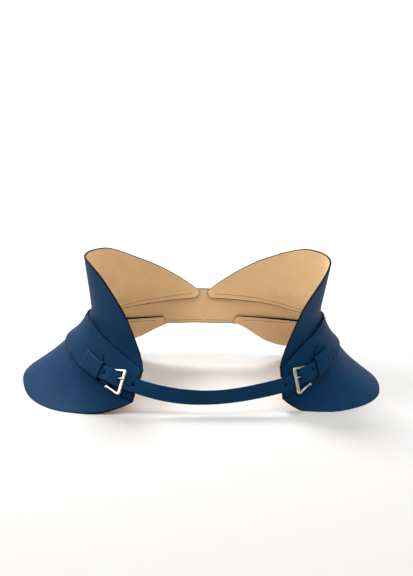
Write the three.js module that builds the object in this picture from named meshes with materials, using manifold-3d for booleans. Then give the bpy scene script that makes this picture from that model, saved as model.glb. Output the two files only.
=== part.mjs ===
// Corset-style leather waist belt: a waistband with upper and lower peplum wings on each
// side, and one front strap that runs through a buckle and a keeper on either side.
// Millimetres, +Z up, +X to the wearer's left-hand side as seen from the front,
// -Y towards the front strap, +Y towards the wearer's back.
import * as THREE from 'three';
import Module from 'manifold-3d';

const wasm = await Module();
wasm.setup();

// ---------------------------------------------------------------- driving dimensions
const OUTER = 1.0;            // blue outer leather, thickness
const LINING = 0.8;           // tan lining leather, thickness
const GAP = 0.3;              // clearance left between touching pieces

// plan of the waistband's top edge: an oval, opened at the front
const BACK_DEPTH = 78.3;      // centre line of the oval to the back
const FRONT_DEPTH = 100.7;    // the same to where the front would close

// stations along each half, as a fraction from the centre back (0) to the front end (1)
const BAND_AT = [0, 0.24, 0.45, 0.68, 0.86, 1];
const HEIGHT_AT = [0, 0.45, 0.8, 1];
const UPPER_AT = [0.028, 0.25, 0.5, 0.75, 0.9, 1];
const LOWER_AT = [0, 0.14, 0.35, 0.55, 0.75, 0.9, 1];

// side values: half width, half the opening between the front ends, height of the band's top edge above the floor, lean of the band
// (outward at the bottom), lean of the upper wing, lean of the lower wing, band height,
// upper wing length above the band, lower wing length below the band, and where the lower
// wing's back tip and upper back corner sit, from the centre back; back moves the buckle line
const LEFT = {
  sign: -1, halfWidth: 128.9, frontHalfGap: 70.3,
  edge: [81.4, 76.9, 72.4, 73.1, 58.5, 39.9], lean: [-11.9, 15.6, 43.4, 33.4, 41.1, 41.1],
  upperLean: [1.1, 0.2, -3.1, 9.6, 6, 7.5], lowerLean: [16.2, 56.6, 50.5, 60.7, 64.5, 53.3],
  band: [38.3, 37.3, 39.7, 34.5],
  upper: [0, 40.6, 69.2, 64.1, 44.6, 0], lower: [0, 0, 42.5, 65, 61.5, 34.5, 0],
  lowerTip: 42.5, lowerCorner: 46, back: 0.5,
};
const RIGHT = {
  sign: 1, halfWidth: 125.1, frontHalfGap: 71.6,
  edge: [81.4, 81.1, 76.9, 77.8, 66.6, 43], lean: [-11.9, 9.4, 39.1, 29.4, 27.8, 13.7],
  upperLean: [1.1, -2.5, -3.5, 9.2, 10.3, 11.8], lowerLean: [16.2, 52.4, 49.7, 56.8, 57.6, 53],
  band: [38.3, 37.3, 37, 32.4],
  upper: [0, 40.1, 67.5, 57.7, 43.7, 0], lower: [0, 0, 42.5, 68.5, 63.5, 39.5, 0],
  lowerTip: 36, lowerCorner: 39.5, back: -0.9,
};
const DISH = [0, 1, 2.2, 2.2, 0, 0];   // hollow of the band's section, at BAND_AT
const UPPER_BEND = 12;        // length over which the upper wing bends away from the band
const LOWER_BEND = 45;        // the same for the lower wing
const UPPER_LAP = 10;         // upper wing laps this far down the inside of the band
const LOWER_LAP = 8.5;        // lower wing laps this far up the inside of the band
const UPPER_TIP = 4.6;        // back tip of the upper wing, from the centre back
const UPPER_CORNER = 9.3;     // lower back corner of the upper wing

// front strap
const STRAP_W = 14;
const STRAP_OUT = 1.1;        // blue layer
const STRAP_GAP = 0.2;
const STRAP_IN = 0.8;         // tan layer
const STRAP_END = 48;         // strap tip, behind the band's front end
const HOLES = [2, 14.8, 27.6];
const HOLE_D = 4;
const SPAN_PULL = { left: 60, right: 50 };      // how far each end steers the free span
const SPAN_DROP = { left: 2.5, right: 0.45 };   // how steeply the span leaves each end

// buckle and its chape, measured back from the band's front end
const HEEL_AT = 23;           // heel bar
const HEEL_UP = 2.65;         // heel bar axis above the band
const HEEL_R = 1.1;
const FRAME_LEN = 17;         // heel bar to outer bar, centre to centre
const FRAME_W = 27;
const FRAME_T = 2.4;
const BAR_W = 3.5;            // face of the outer bar
const ARM_W = 2.4;            // face of each side arm
const FRAME_TILT = 18;        // outer bar stands off the band
const TURN = { left: 17, right: 19 };   // how far each buckle hangs turned from square to the strap
const SLIP = 3;               // the outer bar sits this far down from the heel bar's middle
const CHAPE_W = 14.6;
const CHAPE_T = 1.0;
const CHAPE_END = 49;
const CHAPE_FOLD_R = 1.35;
const CHAPE_SLOT = 4.4;
const PRONG_R = 0.7;

// keeper
const KEEPER_FROM = 32.5;
const KEEPER_RAMP = 50;
const KEEPER_TO = 58;
const KEEPER_HALF = 8.4;
const KEEPER_RISE = 5.9;
const KEEPER_T = 1.1;

// line of the strap on the band: distance back from the front end, and how far below
// the band's top edge the strap's centre runs
const LINE_AT = [0, 9.5, 23, 32.5, 45, 60];
const LINE = { left: [20, 24.6, 27.6, 29.2, 29.8, 29.8], right: [17.4, 21.4, 25.6, 27.6, 28.2, 28.2] };
// height of the strap's inner face above the band
const RIDE_AT = [0, 5, 9.5, 14.8, 19, 23, 27, 32.5, 50];
const RIDE = [2.0, 2.8, 3.7, 4.9, 5.85, 6.15, 4.7, 2.95, 2.95];

// colours
const BLUE = 0x1c4673, TAN = 0xcda577, METAL = 0xd8cfb4, THREAD_TAN = 0xb08a5c;

// ---------------------------------------------------------------- small helpers
const rad = THREE.MathUtils.degToRad;
const V = (x, y, z) => new THREE.Vector3(x, y, z);
const UP = V(0, 0, 1);

// smooth curve through stations that never overshoots them
function curve(xs, ys) {
  const n = xs.length, h = [], g = [], m = new Array(n).fill(0);
  for (let i = 0; i < n - 1; i++) { h[i] = xs[i + 1] - xs[i]; g[i] = (ys[i + 1] - ys[i]) / h[i]; }
  for (let i = 1; i < n - 1; i++) {
    if (g[i - 1] * g[i] <= 0) continue;
    const a = 2 * h[i] + h[i - 1], b = h[i] + 2 * h[i - 1];
    m[i] = (a + b) / (a / g[i - 1] + b / g[i]);
  }
  const end = (h0, h1, g0, g1) => {
    let d = ((2 * h0 + h1) * g0 - h0 * g1) / (h0 + h1);
    if (d * g0 <= 0) d = 0; else if (g0 * g1 < 0 && Math.abs(d) > 3 * Math.abs(g0)) d = 3 * g0;
    return d;
  };
  m[0] = n > 2 ? end(h[0], h[1], g[0], g[1]) : g[0];
  m[n - 1] = n > 2 ? end(h[n - 2], h[n - 3], g[n - 2], g[n - 3]) : g[0];
  return (x) => {
    if (x <= xs[0]) return ys[0];
    if (x >= xs[n - 1]) return ys[n - 1];
    let i = 0; while (x > xs[i + 1]) i++;
    const u = (x - xs[i]) / h[i], u2 = u * u, u3 = u2 * u;
    return ys[i] * (2 * u3 - 3 * u2 + 1) + h[i] * m[i] * (u3 - 2 * u2 + u)
      + ys[i + 1] * (-2 * u3 + 3 * u2) + h[i] * m[i + 1] * (u3 - u2);
  };
}

// closed plate: face 0 is the outside, face 1 the inside, rims join them
function plate(cols, rows, at) {
  const pos = [], idx = [], id = (i, j, k) => (k * (cols + 1) + i) * (rows + 1) + j;
  for (let k = 0; k < 2; k++) for (let i = 0; i <= cols; i++) for (let j = 0; j <= rows; j++) {
    const p = at(i, j, k); pos.push(p.x, p.y, p.z);
  }
  const quad = (a, b, c, d) => idx.push(a, b, c, a, c, d);
  for (let i = 0; i < cols; i++) for (let j = 0; j < rows; j++) {
    quad(id(i, j, 0), id(i + 1, j, 0), id(i + 1, j + 1, 0), id(i, j + 1, 0));
    quad(id(i, j, 1), id(i, j + 1, 1), id(i + 1, j + 1, 1), id(i + 1, j, 1));
  }
  for (let i = 0; i < cols; i++) {
    quad(id(i, 0, 0), id(i, 0, 1), id(i + 1, 0, 1), id(i + 1, 0, 0));
    quad(id(i, rows, 0), id(i + 1, rows, 0), id(i + 1, rows, 1), id(i, rows, 1));
  }
  for (let j = 0; j < rows; j++) {
    quad(id(0, j, 0), id(0, j + 1, 0), id(0, j + 1, 1), id(0, j, 1));
    quad(id(cols, j, 0), id(cols, j, 1), id(cols, j + 1, 1), id(cols, j + 1, 0));
  }
  let vol = 0;
  for (let t = 0; t < idx.length; t += 3) {
    const [a, b, c] = [idx[t] * 3, idx[t + 1] * 3, idx[t + 2] * 3];
    vol += pos[a] * (pos[b + 1] * pos[c + 2] - pos[b + 2] * pos[c + 1])
      + pos[a + 1] * (pos[b + 2] * pos[c] - pos[b] * pos[c + 2])
      + pos[a + 2] * (pos[b] * pos[c + 1] - pos[b + 1] * pos[c]);
  }
  if (vol < 0) for (let t = 0; t < idx.length; t += 3) [idx[t + 1], idx[t + 2]] = [idx[t + 2], idx[t + 1]];
  const g = new THREE.BufferGeometry();
  g.setAttribute('position', new THREE.Float32BufferAttribute(pos, 3));
  g.setIndex(idx);
  return g;
}

function solid(geometry) {
  const p = geometry.attributes.position, map = new Map(), verts = [], ref = [];
  for (let i = 0; i < p.count; i++) {
    const key = [p.getX(i), p.getY(i), p.getZ(i)].map((v) => Math.round(v * 1e4)).join();
    if (!map.has(key)) { map.set(key, verts.length / 3); verts.push(p.getX(i), p.getY(i), p.getZ(i)); }
    ref.push(map.get(key));
  }
  const src = geometry.index ? Array.from(geometry.index.array) : ref.map((_, i) => i), tri = [];
  for (let t = 0; t < src.length; t += 3) {
    const [a, b, c] = [ref[src[t]], ref[src[t + 1]], ref[src[t + 2]]];
    if (a !== b && b !== c && a !== c) tri.push(a, b, c);
  }
  return new wasm.Manifold(new wasm.Mesh({ numProp: 3, vertProperties: new Float32Array(verts), triVerts: new Uint32Array(tri) }));
}

function geometryOf(body) {
  const m = body.getMesh(), g = new THREE.BufferGeometry(), n = m.vertProperties.length / m.numProp;
  const p = new Float32Array(n * 3);
  for (let i = 0; i < n; i++) for (let k = 0; k < 3; k++) p[3 * i + k] = m.vertProperties[i * m.numProp + k];
  g.setAttribute('position', new THREE.BufferAttribute(p, 3));
  g.setIndex(new THREE.BufferAttribute(new Uint32Array(m.triVerts), 1));
  return g;
}

const belt = new THREE.Group();
belt.name = 'corset_belt';
function piece(name, geometry, color, roughness = 0.55, metalness = 0, parent = belt) {
  geometry.computeVertexNormals();
  const mesh = new THREE.Mesh(geometry, new THREE.MeshStandardMaterial({ color, roughness, metalness, flatShading: false }));
  mesh.name = name;
  parent.add(mesh);
  return mesh;
}

// ---------------------------------------------------------------- one half of the belt
function half(S) {
  const a = S.halfWidth, end = Math.PI - Math.asin(S.frontHalfGap / a), N = 2400;
  const depth = (phi) => (Math.cos(phi) > 0 ? BACK_DEPTH : FRONT_DEPTH);
  const arc = [0];
  const xy = (phi) => [a * Math.sin(phi), depth(phi) * Math.cos(phi)];
  for (let i = 1; i <= N; i++) {
    const [x0, y0] = xy((end * (i - 1)) / N), [x1, y1] = xy((end * i) / N);
    arc.push(arc[i - 1] + Math.hypot(x1 - x0, y1 - y0));
  }
  const L = arc[N];
  const phiAt = (s) => {
    const d = Math.min(Math.max(s, 0), 1) * L;
    let lo = 0, hi = N;
    while (hi - lo > 1) { const mid = (lo + hi) >> 1; if (arc[mid] <= d) lo = mid; else hi = mid; }
    return (end * (lo + (d - arc[lo]) / (arc[hi] - arc[lo]))) / N;
  };
  // mirrored past the centre back, so that the two halves run into each other smoothly
  const even = (ys) => curve([-BAND_AT[1], ...BAND_AT], [ys[1], ...ys]);
  const edge = even(S.edge), lean = even(S.lean.map(rad));
  const upperLean = curve(BAND_AT, S.upperLean.map(rad)), lowerLean = curve(BAND_AT, S.lowerLean.map(rad));
  const band = curve(HEIGHT_AT, S.band), dish = curve(BAND_AT, DISH);
  const upperLen = curve(UPPER_AT, S.upper), lowerLen = curve(LOWER_AT, S.lower);

  // section frame at fraction s: top edge point, plan normal, down the band, off the band
  const at = (s) => {
    const phi = phiAt(s), [x, y] = xy(phi), b = depth(phi), f = lean(s);
    const n = V(S.sign * x / (a * a), y / (b * b), 0).normalize();
    return {
      p: V(S.sign * x, y, edge(s)), n, f,
      d: n.clone().multiplyScalar(Math.sin(f)).addScaledVector(UP, -Math.cos(f)),
      m: n.clone().multiplyScalar(Math.cos(f)).addScaledVector(UP, Math.sin(f)),
      h: band(s), dish: dish(s),
    };
  };
  const onBand = (s, down, off) => {
    const q = at(s), k = Math.min(Math.max(down / q.h, 0), 1);
    return q.p.clone().addScaledVector(q.d, down).addScaledVector(q.m, off - 4 * q.dish * k * (1 - k));
  };
  // a strip that follows the band for run <= 0 and bends away from it for run > 0
  const strip = (s, run, off, dir) => {
    const q = at(s), depth = OUTER + LINING + 2 * GAP + (dir > 0 ? 0 : 0.15);
    if (run <= 0) return onBand(s, dir > 0 ? -run : q.h + run, -depth - off);
    const base = q.p.clone().addScaledVector(q.d, dir > 0 ? 0 : q.h).addScaledVector(q.m, -depth);
    const bend = dir > 0 ? UPPER_BEND : LOWER_BEND;
    const a0 = dir > 0 ? -q.f : q.f, a1 = dir > 0 ? upperLean(s) : lowerLean(s);
    const k = Math.abs(a1 - a0) < 1e-6 ? 1e-6 : (a1 - a0) / bend, c = Math.min(run, bend), ae = a0 + k * c, rest = Math.max(run - bend, 0);
    const sx = (Math.cos(a0) - Math.cos(ae)) / k + rest * Math.sin(ae);
    const sz = (Math.sin(ae) - Math.sin(a0)) / k + rest * Math.cos(ae);
    return base.addScaledVector(q.n, sx - off * Math.cos(ae)).addScaledVector(UP, dir * sz + (dir > 0 ? off * Math.sin(ae) : -off * Math.sin(ae)));
  };
  // run at which the lower wing's face at depth off meets the floor
  const floorRun = (s, off, floor) => {
    let lo = 0, hi = 140;
    for (let i = 0; i < 40; i++) { const mid = (lo + hi) / 2; if (strip(s, mid, off, -1).z > floor) lo = mid; else hi = mid; }
    return hi;
  };
  return { S, L, at, onBand, strip, floorRun, upperLen, lowerLen, band };
}
const left = half(LEFT), right = half(RIGHT);
const SIDES = [['left', left, LEFT], ['right', right, RIGHT]];

// shared stations along a half, in millimetres from the centre back
function stations(H, from) {
  const marks = [0, UPPER_TIP, 7.5, UPPER_CORNER, 14, 20, 27, H.S.lowerTip - 5, H.S.lowerTip, H.S.lowerCorner, 53];
  const list = marks.filter((u) => u >= from - 1e-6);
  const n = 19, u0 = 53;
  for (let i = 1; i <= n; i++) list.push(u0 + ((H.L - 5 - u0) * i) / n);
  list.push(H.L - 2, H.L);
  return list.map((u) => u / H.L);
}

// ---------------------------------------------------------------- waistband
{
  const rows = 5;
  const colsL = stations(left, 0).reverse().slice(0, -1), colsR = stations(right, 0);
  const cols = [...colsL.map((s) => [left, s]), ...colsR.map((s) => [right, s])];
  const layer = (o0, o1) => plate(cols.length - 1, rows, (i, j, k) => {
    const [H, s] = cols[i];
    return H.onBand(s, (H.band(s) * j) / rows, k ? -o1 : -o0);
  });
  piece('waistband_outer', layer(0, OUTER), BLUE);
  piece('waistband_lining', layer(OUTER + GAP, OUTER + GAP + LINING), TAN, 0.7);
}

// ---------------------------------------------------------------- wings
const FLOOR = 0;
for (const [name, H] of SIDES) {
  // upper wing
  {
    const cols = stations(H, UPPER_TIP), low = 2, high = 6, rows = low + high;
    const lo = (u) => (u < UPPER_CORNER ? THREE.MathUtils.mapLinear(u, UPPER_TIP, UPPER_CORNER, -5.2, -UPPER_LAP) : -UPPER_LAP);
    const hi = (u) => (u < 7.5 ? THREE.MathUtils.mapLinear(u, UPPER_TIP, 7.5, -4, 0.4) : Math.max(H.upperLen(u / H.L), 0.4));
    const layer = (o0, o1) => plate(cols.length - 1, rows, (i, j, k) => {
      const s = cols[i], u = s * H.L, a = lo(u), b = hi(u), mid = b > 1.5 ? 0 : a + (b - a) * 0.6;
      const run = j <= low ? a + ((mid - a) * j) / low : mid + (b - mid) * ((j - low) / high) ** 1.25;
      return H.strip(s, run, k ? o1 : o0, 1);
    });
    piece(`upper_wing_${name}_outer`, layer(0, OUTER), BLUE);
    piece(`upper_wing_${name}_lining`, layer(OUTER + GAP, OUTER + GAP + LINING), TAN, 0.7);
  }
  // lower wing, its hem trimmed to lie on the floor where it reaches it
  {
    const tip = H.S.lowerTip, corner = H.S.lowerCorner, cols = stations(H, tip), low = 2, high = 6, rows = low + high;
    const lo = (u) => (u < corner ? THREE.MathUtils.mapLinear(u, tip, corner, -0.8, -LOWER_LAP) : -LOWER_LAP);
    const layer = (o0, o1, floor) => plate(cols.length - 1, rows, (i, j, k) => {
      const s = cols[i], u = s * H.L, off = k ? o1 : o0, a = lo(u);
      const b = Math.max(Math.min(H.lowerLen(s), H.floorRun(s, off, floor)), 0.4);
      const mid = b > 1.5 ? 0 : a + (b - a) * 0.6;
      const run = j <= low ? a + ((mid - a) * j) / low : mid + (b - mid) * ((j - low) / high) ** 1.25;
      return H.strip(s, run, off, -1);
    });
    piece(`lower_wing_${name}_outer`, layer(0, OUTER, FLOOR), BLUE);
    piece(`lower_wing_${name}_lining`, layer(OUTER + GAP, OUTER + GAP + LINING, FLOOR + 0.3), TAN, 0.7);
  }
}

// ---------------------------------------------------------------- line of strap, keeper and buckle on each side
const lines = {};
for (const [name, H] of SIDES) {
  const down = curve(LINE_AT, LINE[name]);
  const station = (u) => 1 - (u + H.S.back) / H.L, raw = (u) => H.onBand(station(u), down(u), 0);
  const at = (u) => {
    const e = 0.4, uu = Math.max(u, 1.4);
    const t = raw(uu - e).sub(raw(uu + e)).normalize();           // towards the front end
    const { d, m } = H.at(station(u));
    const w = d.clone().addScaledVector(t, -d.dot(t)).normalize();  // down the band, square to it
    const n = new THREE.Vector3().crossVectors(t, w).normalize();
    if (n.dot(m) < 0) n.negate();
    // the buckle's own pair of axes
    const turn = rad(TURN[name]) * Math.sign(d.dot(t));
    const y = w.clone().multiplyScalar(Math.cos(turn)).addScaledVector(t, Math.sin(turn));
    const x = t.clone().multiplyScalar(Math.cos(turn)).addScaledVector(w, -Math.sin(turn));
    return { o: raw(u), t, w, n, x, y, slant: d.dot(t) / d.dot(w) };
  };
  const put = (u, v, h) => {
    const q = at(u);
    return q.o.clone().addScaledVector(q.w, v).addScaledVector(q.n, h);
  };
  // heel bar: placed so that the prong's line passes over the strap's middle hole
  const q = at(HEEL_AT), aside = -(HEEL_AT - HOLES[1]) * q.x.dot(q.w) / q.x.dot(q.t);
  const heel = { ...q, o: q.o.clone().addScaledVector(q.w, aside) };
  lines[name] = { at, put, heel };
}

// ---------------------------------------------------------------- front strap
const ride = curve(RIDE_AT, RIDE);
const strapPath = (() => {
  const pts = [], across = [];
  const us = [STRAP_END, 42, 37, 32.5, 29.5, 26.5, 23, 19.5, 16, 12.5, 9.5, 6, 3, 0];
  for (const u of us) {
    const q = lines.left.at(u); pts.push(q.o.clone().addScaledVector(q.n, ride(u))); across.push(q.w);
  }
  const a = pts[pts.length - 1], qa = lines.left.at(0), qb = lines.right.at(0);
  const b = qb.o.clone().addScaledVector(qb.n, ride(0));
  // free span: leaves each end along the band and sags in the middle
  const span = new THREE.CubicBezierCurve3(a, a.clone().addScaledVector(spanDir(qa.t, SPAN_DROP.left), SPAN_PULL.left), b.clone().addScaledVector(spanDir(qb.t, SPAN_DROP.right), SPAN_PULL.right), b);
  for (let i = 1; i < 9; i++) {
    pts.push(span.getPoint(i / 9));
    const k = i / 9, w = k < 0.5 ? qa.w.clone().lerp(V(0, 0.1, -1), k * 2) : V(0, 0.1, -1).lerp(qb.w, k * 2 - 1);
    across.push(w.normalize());
  }
  for (const u of [...us].reverse()) {
    const q = lines.right.at(u); pts.push(q.o.clone().addScaledVector(q.n, ride(u))); across.push(q.w);
  }
  const path = new THREE.CatmullRomCurve3(pts, false, 'centripetal');
  const knots = [0];
  for (let i = 1; i < pts.length; i++) knots.push(knots[i - 1] + pts[i].distanceTo(pts[i - 1]));
  return { path, pts, across, knots };
})();
// direction of the free span where it leaves a front end
function spanDir(t, drop) {
  return V(t.x, t.y, t.z * drop).normalize();
}
const strapFrame = (k) => {                    // k runs over the path's points
  const n = strapPath.pts.length - 1, i = Math.min(Math.floor(k), n - 1), f = k - i;
  const o = strapPath.path.getPoint(k / n), t = strapPath.path.getTangent(k / n);
  const w = strapPath.across[i].clone().lerp(strapPath.across[i + 1], f);
  w.addScaledVector(t, -w.dot(t)).normalize();
  const m = new THREE.Vector3().crossVectors(w, t).normalize();
  if (m.dot(V(o.x, o.y, 0)) < 0) m.negate();
  return { o, t, w, m };
};
// station of a hole: matches the distance back from the front end on that side
const strapHole = (side, u) => {
  const q = lines[side].at(u), target = q.o.clone().addScaledVector(q.n, ride(u)), n = strapPath.pts.length - 1;
  let best = 0, dist = 1e9;
  for (let i = 0; i <= 4000; i++) {
    const k = (n * i) / 4000, d = strapPath.path.getPoint(k / n).distanceTo(target);
    if (d < dist) { dist = d; best = k; }
  }
  return strapFrame(best);
};
{
  const n = strapPath.pts.length - 1, ks = [];
  for (let i = 0; i < n; i++) { ks.push(i); if (i > 12 && i < n - 13) ks.push(i + 0.5); }
  ks.push(n);
  ks.splice(1, 0, 0.25, 0.55); ks.splice(ks.length - 1, 0, n - 0.55, n - 0.25);
  const total = strapPath.path.getLength();
  const layer = (h0, h1) => plate(ks.length - 1, 2, (i, j, k) => {
    const q = strapFrame(ks[i]), edge = Math.min(strapPath.path.getPoint(0).distanceTo(q.o), strapPath.path.getPoint(1).distanceTo(q.o));
    const half = (STRAP_W / 2) * (edge < 7 ? Math.sqrt(Math.max(1 - ((7 - edge) / 7.4) ** 2, 0.02)) : 1);
    return q.o.clone().addScaledVector(q.w, (j - 1) * half).addScaledVector(q.m, k ? h0 : h1);
  });
  let outer = solid(layer(STRAP_IN + STRAP_GAP, STRAP_IN + STRAP_GAP + STRAP_OUT)), inner = solid(layer(0, STRAP_IN));
  for (const side of ['left', 'right']) for (const u of HOLES) {
    const q = strapHole(side, u), g = new THREE.CylinderGeometry(HOLE_D / 2, HOLE_D / 2, 12, 14);
    g.applyMatrix4(new THREE.Matrix4().makeBasis(q.t, q.m, new THREE.Vector3().crossVectors(q.t, q.m)).setPosition(q.o));
    const drill = solid(g);
    outer = outer.subtract(drill); inner = inner.subtract(drill);
  }
  piece('front_strap_outer', geometryOf(outer), BLUE);
  piece('front_strap_lining', geometryOf(inner), TAN, 0.7);
}

// ---------------------------------------------------------------- chape, buckle, prong, keeper
export const pivots = {};
for (const [name] of SIDES) {
  const line = lines[name];
  // chape: a strip laid on the band, folded round the heel bar and brought back over itself
  {
    const path = [];
    const ri = CHAPE_FOLD_R, ro = ri + CHAPE_T, low = HEEL_UP - ro;
    for (const u of [CHAPE_END, 44, 39, 34, 30, 26.5]) path.push([u, low, u, low + CHAPE_T]);
    for (let i = 0; i <= 8; i++) {
      const a = -Math.PI / 2 + (Math.PI * i) / 8, c = Math.cos(a), s = Math.sin(a);
      path.push([HEEL_AT - ro * c, HEEL_UP + ro * s, HEEL_AT - ri * c, HEEL_UP + ri * s]);
    }
    const backTop = curve([HEEL_AT, 25, 30, 34, CHAPE_END], [HEEL_UP + ri, HEEL_UP + ri - 0.25, low + CHAPE_T + 0.45, low + CHAPE_T + 0.2, low + CHAPE_T + 0.2]);
    for (const u of [25, 27, 30, 34, 39, 44, CHAPE_END]) path.push([u, backTop(u) + CHAPE_T, u, backTop(u)]);
    const rows = 2, n = path.length - 1;
    let g = solid(plate(n, rows, (i, j, k) => {
      const [uo, ho, ui, hi] = path[i], v = (j / rows - 0.5) * CHAPE_W;
      const u = k ? ui : uo, h = k ? hi : ho;
      return foldPut(line, u, v, h);
    }));
    const q = line.heel, slot = new THREE.BoxGeometry(9, CHAPE_SLOT, 9);
    slot.applyMatrix4(new THREE.Matrix4().makeBasis(q.x, new THREE.Vector3().crossVectors(q.n, q.x), q.n).setPosition(q.o.clone().addScaledVector(q.n, HEEL_UP).addScaledVector(q.x, 1.2)));
    g = g.subtract(solid(slot));
    piece(`chape_${name}`, geometryOf(g), BLUE);
  }
  // buckle frame and prong, in the heel bar's own axes: x to the front, y down the band, z off it
  const q = line.heel, heel = q.o.clone().addScaledVector(q.n, HEEL_UP);
  const basis = new THREE.Matrix4().makeBasis(q.x, new THREE.Vector3().crossVectors(q.n, q.x), q.n);
  const hardware = new THREE.Group();
  hardware.name = `buckle_${name}`;
  hardware.quaternion.setFromRotationMatrix(basis);
  hardware.position.copy(heel);
  belt.add(hardware);
  pivots[name] = { heel, t: q.x, w: q.y, n: q.n };
  {
    // outline: narrow at the heel bar, wider and offset at the outer bar
    const down = Math.sign(q.y.dot(new THREE.Vector3().crossVectors(q.n, q.x)));
    const x1 = FRAME_LEN + BAR_W / 2, xi = FRAME_LEN - BAR_W / 2, x0 = -1.7, w = FRAME_W / 2, r = 2, ri = 0.9, b = 0.45;
    const heelIn = CHAPE_W / 2 + 0.5, lo = SLIP * down - w, hi = SLIP * down + w;
    const s = new THREE.Shape();
    s.moveTo(x0 + b, -heelIn - ARM_W + b); s.lineTo(1.5, -heelIn - ARM_W + b); s.lineTo(x1 - r - 1.2, lo + b);
    s.absarc(x1 - r, lo + r, r - b, -Math.PI / 2, 0, false); s.absarc(x1 - r, hi - r, r - b, 0, Math.PI / 2, false);
    s.lineTo(x1 - r - 1.2, hi - b); s.lineTo(1.5, heelIn + ARM_W - b); s.lineTo(x0 + b, heelIn + ARM_W - b);
    s.lineTo(x0 + b, heelIn + b); s.lineTo(1.2, heelIn + b); s.lineTo(xi - ri - 1.5, hi - ARM_W + b);
    s.absarc(xi - ri, hi - ARM_W - ri, ri + b, Math.PI / 2, 0, true); s.absarc(xi - ri, lo + ARM_W + ri, ri + b, 0, -Math.PI / 2, true);
    s.lineTo(xi - ri - 1.5, lo + ARM_W - b); s.lineTo(1.2, -heelIn - b); s.lineTo(x0 + b, -heelIn - b); s.closePath();
    const g = new THREE.ExtrudeGeometry(s, { depth: FRAME_T - 2 * b, bevelEnabled: true, bevelThickness: b, bevelSize: b, bevelSegments: 2, curveSegments: 5 });
    g.translate(0, 0, -(FRAME_T - 2 * b) / 2);
    const bar = new THREE.CylinderGeometry(HEEL_R, HEEL_R, 2 * heelIn + 1.2, 16);
    const frame = solid(g).add(solid(bar));
    const mesh = piece(`buckle_frame_${name}`, geometryOf(frame), METAL, 0.28, 1, hardware);
    mesh.rotation.y = -rad(FRAME_TILT);
  }
  {
    const pts = [[1.9, 0.15], [4.5, 0.35], [6.8, 0.5], [8.4, 0.7], [9.4, 1.35], [10, 2.6], [10.7, 4.4], [11.7, 5.9], [13.1, 6.85], [14.7, 7.4], [16.3, 7.9], [18, 8.45]];
    const path = new THREE.CatmullRomCurve3(pts.map(([x, z]) => V(x, 0, z)), false, 'centripetal');
    const c = new THREE.Shape(); c.absarc(0, 0, PRONG_R, 0, Math.PI * 2, false);
    const rod = new THREE.ExtrudeGeometry(c, { steps: 26, extrudePath: path, curveSegments: 5, bevelEnabled: false });
    const eye = new THREE.TorusGeometry(1.9, 0.55, 8, 18); eye.rotateX(Math.PI / 2);
    piece(`buckle_prong_${name}`, geometryOf(solid(rod).add(solid(eye))), METAL, 0.3, 1, hardware);
  }
  // keeper: a tunnel over strap and chape, open towards the buckle and ramped shut behind
  {
    const us = [KEEPER_FROM, 35, 38, 42, 46, KEEPER_RAMP, 51.5, 53, 54.5, 56, KEEPER_TO], rows = 14;
    const rise = curve([KEEPER_FROM, KEEPER_RAMP, 56.5, KEEPER_TO], [KEEPER_RISE, KEEPER_RISE, 0.35, 0.15]);
    const g = plate(us.length - 1, rows, (i, j, k) => {
      const a = (Math.PI * j) / rows, c = Math.cos(a), s = Math.sin(a), e = 2 / 5.5;
      const half = k ? KEEPER_HALF : KEEPER_HALF + 0.9, top = k ? rise(us[i]) : rise(us[i]) + KEEPER_T;
      const v = -Math.sign(c) * Math.abs(c) ** e * half, h = GAP + 0.25 + top * Math.abs(s) ** e * (j === 0 || j === rows ? 0 : 1);
      return line.put(us[i] - line.at(us[i]).slant * v, v, h);
    });
    piece(`keeper_${name}`, g, BLUE);
  }
  // keeper tab: small rounded flap of the keeper, lapped on the band above it
  {
    const from = 37.5, to = 49.5, v0 = -(KEEPER_HALF + 0.9 + 0.35), v1 = v0 - 5;
    const us = [from, from + 0.35, from + 1, from + 2, from + 3.2, 43, 46, to];
    const g = plate(us.length - 1, 2, (i, j, k) => {
      const e = us[i] - from, top = v1 + (e < 3.2 ? 3.6 * (1 - Math.sqrt(1 - ((3.2 - e) / 3.3) ** 2)) : 0) + (e > 8 ? (e - 8) * 0.35 : 0);
      const v = v0 + ((top - v0) * j) / 2;
      return line.put(us[i] - line.at(us[i]).slant * v, v, k ? GAP : GAP + 1.1);
    });
    piece(`keeper_tab_${name}`, g, BLUE);
  }
}
// near the heel bar the chape keeps to the bar's straight section; further back it follows the band
function foldPut(line, u, v, h) {
  const q = line.heel;
  const flat = q.o.clone().addScaledVector(q.x, HEEL_AT - u).addScaledVector(q.y, v).addScaledVector(q.n, h);
  const k = THREE.MathUtils.smoothstep(u, HEEL_AT + 1.5, HEEL_AT + 9);
  return k <= 0 ? flat : flat.lerp(line.put(u, v, h), k);
}

// ---------------------------------------------------------------- seam threads, one strand per seam
for (const [name, H] of SIDES) {
  for (const [seam, dir, lap, from] of [['upper', 1, 5, 14], ['lower', -1, 4.5, 53]]) {
    const off = OUTER + GAP + LINING, cols = stations(H, from).slice(0, -2);
    const g = plate(cols.length - 1, 1, (i, j, k) => H.strip(cols[i], -lap + (j - 0.5) * 0.6, off + (k ? 0.6 : 0.25), dir));
    piece(`seam_thread_${seam}_${name}`, g, THREAD_TAN, 0.8);
  }
}

// ---------------------------------------------------------------- origin: centre of the base
const box = new THREE.Box3().setFromObject(belt, true), mid = box.getCenter(new THREE.Vector3());
export const shift = V(-mid.x, -mid.y, -box.min.z);
for (const child of belt.children) child.position.add(shift);
export default belt;
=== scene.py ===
# Corset-style leather waist belt, dressed on its CAD frame. Millimetres inside, metres out.
import bpy, bmesh, math
import numpy as np
from mathutils import Vector, Matrix


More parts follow.
